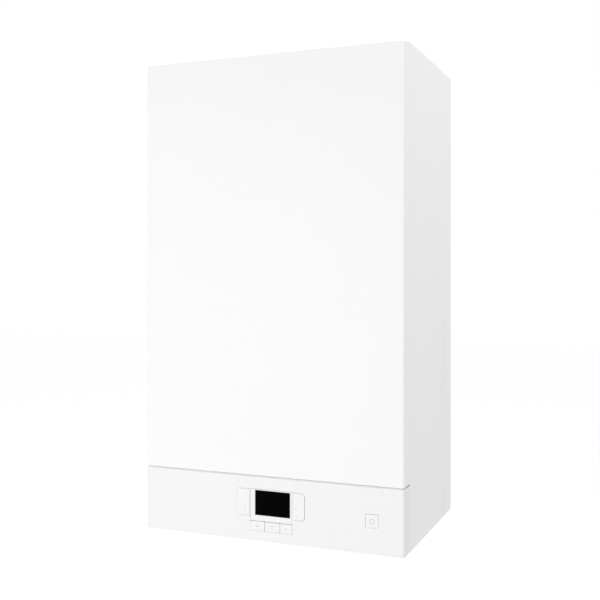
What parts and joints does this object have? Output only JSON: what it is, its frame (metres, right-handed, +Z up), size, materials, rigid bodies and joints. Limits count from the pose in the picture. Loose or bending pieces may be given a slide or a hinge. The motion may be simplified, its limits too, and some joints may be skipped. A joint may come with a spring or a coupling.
{
  "type": "combi boiler",
  "caption": "Wall-hung condensing combi boiler: white pull-off cover, swing-down control box with display and keys, burner, fan, pump, valves and pipework inside.",
  "frame": {"origin": "on the wall plane, in the middle of the boiler's width, level with the two hanging slots of the back frame", "axes": "+X to the right as seen from the front, +Y into the wall, +Z up; the cover faces -Y"},
  "size_m": [0.415, 0.2905, 0.791],
  "materials": {
    "white_paint": "smooth satin white powder coat",
    "white_plastic": "white moulded plastic with a fine spark texture",
    "dark_plastic": "dark moulded plastic",
    "grey_plastic": "grey moulded plastic",
    "black_window": "black display window, polished",
    "circuit_board": "green lacquered circuit board",
    "galvanised_steel": "galvanised sheet with a faint spangle",
    "stainless_steel": "stainless steel, dull",
    "cast_aluminium": "die cast, matt",
    "brass": "forged and machined brass",
    "copper": "drawn copper pipe, slightly dulled",
    "ceramic": "glazed ceramic",
    "red_plastic": "red moulded plastic",
    "grey_paint": "grey painted pressed steel",
    "black_rubber": "black rubber hose"
  },
  "bodies": {
    "case": {"back_frame": "galvanised_steel", "side_panel_left": "white_paint", "side_panel_right": "white_paint", "top_plate": "white_paint", "bottom_plate": "galvanised_steel", "cover_clip_left": "stainless_steel", "cover_clip_right": "stainless_steel", "hinge_bracket_left": "galvanised_steel", "hinge_bracket_right": "galvanised_steel", "heat_exchanger": "dark_plastic", "burner_door": "cast_aluminium", "burner_manifold": "cast_aluminium", "ignition_electrode": "ceramic", "flame_electrode": "ceramic", "fan_housing": "cast_aluminium", "fan_motor": "dark_plastic", "venturi": "cast_aluminium", "gas_link": "copper", "gas_valve": "cast_aluminium", "flue_duct": "grey_plastic", "flue_collar": "dark_plastic", "flow_block": "brass", "return_block": "brass", "plate_exchanger": "stainless_steel", "pump_housing": "cast_aluminium", "pump_motor": "dark_plastic", "air_vent": "brass", "diverter_actuator": "grey_plastic", "relief_valve": "brass", "expansion_vessel": "grey_paint", "vessel_bracket": "galvanised_steel", "vessel_hose": "stainless_steel", "flow_pipe": "copper", "return_pipe": "copper", "gas_pipe": "copper", "gas_tail": "brass", "condensate_hose": "black_rubber", "condensate_trap": "grey_plastic"},
    "cover": {"front_cover": "white_paint", "cover_stud_left": "stainless_steel", "cover_stud_right": "stainless_steel"},
    "control_box": {"fascia": "white_plastic", "control_box_cover": "dark_plastic", "key_carrier": "grey_plastic", "display_bezel": "white_plastic", "display_window": "black_window", "display_module": "dark_plastic", "display_board": "circuit_board", "main_board": "circuit_board", "power_switch": "dark_plastic"},
    "rocker_left": {"rocker_left": "white_plastic"},
    "rocker_right": {"rocker_right": "white_plastic"},
    "button_left": {"button_left": "white_plastic"},
    "button_middle": {"button_middle": "white_plastic"},
    "button_right": {"button_right": "white_plastic"},
    "power_button": {"power_button": "white_plastic"},
    "fan_wheel": {"fan_impeller": "dark_plastic"},
    "pump_wheel": {"pump_impeller": "grey_plastic"},
    "diverter": {"diverter_stem": "stainless_steel"},
    "relief_knob": {"relief_knob": "red_plastic"}
  },
  "joints": [
    {"name": "cover_pull", "type": "slide", "parent": "case", "child": "cover", "axis": [0, -1, 0], "range_m": [0, 0.1]},
    {"name": "control_box_swing", "type": "hinge", "parent": "case", "child": "control_box", "pos_m": [0, -0.266, -0.684], "axis": [1, 0, 0], "range_deg": [0, 90]},
    {"name": "rocker_left_tilt", "type": "hinge", "parent": "control_box", "child": "rocker_left", "pos_m": [-0.0405, -0.286, -0.63405], "axis": [1, 0, 0], "range_deg": [-2.5, 2.5], "stiffness_Nm_per_rad": 0.7},
    {"name": "rocker_right_tilt", "type": "hinge", "parent": "control_box", "child": "rocker_right", "pos_m": [0.04815, -0.286, -0.63405], "axis": [1, 0, 0], "range_deg": [-2.5, 2.5], "stiffness_Nm_per_rad": 0.7},
    {"name": "button_left_press", "type": "slide", "parent": "control_box", "child": "button_left", "axis": [0, 1, 0], "range_m": [0, 0.0005], "stiffness_N_per_m": 2000},
    {"name": "button_middle_press", "type": "slide", "parent": "control_box", "child": "button_middle", "axis": [0, 1, 0], "range_m": [0, 0.0005], "stiffness_N_per_m": 2000},
    {"name": "button_right_press", "type": "slide", "parent": "control_box", "child": "button_right", "axis": [0, 1, 0], "range_m": [0, 0.0005], "stiffness_N_per_m": 2000},
    {"name": "power_button_press", "type": "slide", "parent": "control_box", "child": "power_button", "axis": [0, 1, 0], "range_m": [0, 0.0015], "stiffness_N_per_m": 1500},
    {"name": "fan_spin", "type": "hinge", "parent": "case", "child": "fan_wheel", "pos_m": [-0.03, -0.2201, -0.305], "axis": [0, 1, 0], "continuous": true},
    {"name": "pump_spin", "type": "hinge", "parent": "case", "child": "pump_wheel", "pos_m": [0.137, -0.096, -0.565], "axis": [0, 1, 0], "continuous": true},
    {"name": "diverter_travel", "type": "slide", "parent": "case", "child": "diverter", "axis": [0, 0, -1], "range_m": [0, 0.005]},
    {"name": "relief_knob_turn", "type": "hinge", "parent": "case", "child": "relief_knob", "pos_m": [-0.13, -0.1346, -0.615], "axis": [0, 1, 0], "range_deg": [0, 90]}
  ]
}
